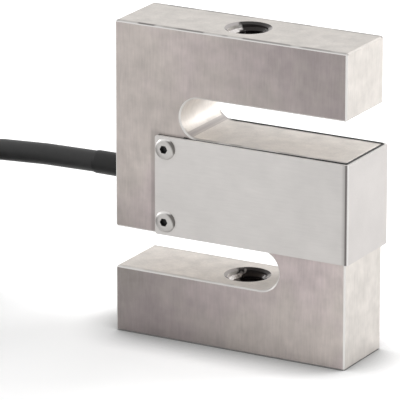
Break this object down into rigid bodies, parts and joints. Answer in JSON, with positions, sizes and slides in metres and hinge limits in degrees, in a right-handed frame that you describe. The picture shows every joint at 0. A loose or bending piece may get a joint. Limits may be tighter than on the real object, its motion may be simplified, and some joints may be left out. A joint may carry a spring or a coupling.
{
  "type": "s type load cell",
  "caption": "S-shaped steel load cell with a threaded hole in each arm, a folded sheet cover over its gauge bores and a coiled black signal cable.",
  "frame": {"origin": "on the load axis, where the lower thread's axis meets the bottom face", "axes": "+Z along the load axis towards the upper threaded arm, +X towards the end that the cover wraps round, the cable leaving along -X, and -Y out of the cover's front"},
  "size_m": [0.1436, 0.067, 0.0635],
  "materials": {
    "body_steel": "plated and finely ground, satin",
    "cover_steel": "satin sheet",
    "gasket_rubber": "matte",
    "screw_steel": "bright",
    "gauge_film": "translucent amber film",
    "silicone_coat": "soft satin",
    "board_laminate": "green laminate",
    "adhesive": "soft satin",
    "solder": "bright solder",
    "resistor_ceramic": "matte",
    "enamelled_wire": "glossy enamel",
    "cable_black": "matte PVC",
    "sleeve_black": "satin",
    "seal_rubber": "matte",
    "crimp_metal": "satin",
    "insulation_red": "gloss",
    "insulation_black": "gloss",
    "insulation_green": "gloss",
    "insulation_white": "gloss",
    "tinned_braid": "tinned copper"
  },
  "bodies": {
    "root": {"board_adhesive": "adhesive", "bridge_board": "board_laminate", "cable_coil": "cable_black", "cable_crimp": "crimp_metal", "cable_jacket_inner": "cable_black", "cable_lead": "cable_black", "cable_seal": "seal_rubber", "cable_sleeve": "sleeve_black", "cable_tail": "cable_black", "core_black": "insulation_black", "core_green": "insulation_green", "core_red": "insulation_red", "core_white": "insulation_white", "cover": "cover_steel", "cover_gasket": "gasket_rubber", "cover_screw_front_lower": "screw_steel", "cover_screw_front_upper": "screw_steel", "cover_screw_rear_lower": "screw_steel", "cover_screw_rear_upper": "screw_steel", "end_sleeve": "sleeve_black", "gauge_coat_lower_left": "silicone_coat", "gauge_coat_lower_right": "silicone_coat", "gauge_coat_upper_left": "silicone_coat", "gauge_coat_upper_right": "silicone_coat", "gauge_wires": "enamelled_wire", "lead_black": "insulation_black", "lead_green": "insulation_green", "lead_red": "insulation_red", "lead_shield": "tinned_braid", "lead_tips": "tinned_braid", "lead_white": "insulation_white", "shield_drain": "tinned_braid", "solder_terminals": "solder", "span_resistor_negative": "resistor_ceramic", "span_resistor_positive": "resistor_ceramic", "spring_body": "body_steel", "strain_gauge_lower_left": "gauge_film", "strain_gauge_lower_right": "gauge_film", "strain_gauge_upper_left": "gauge_film", "strain_gauge_upper_right": "gauge_film", "zero_balance_resistor": "resistor_ceramic"}
  },
  "joints": []
}
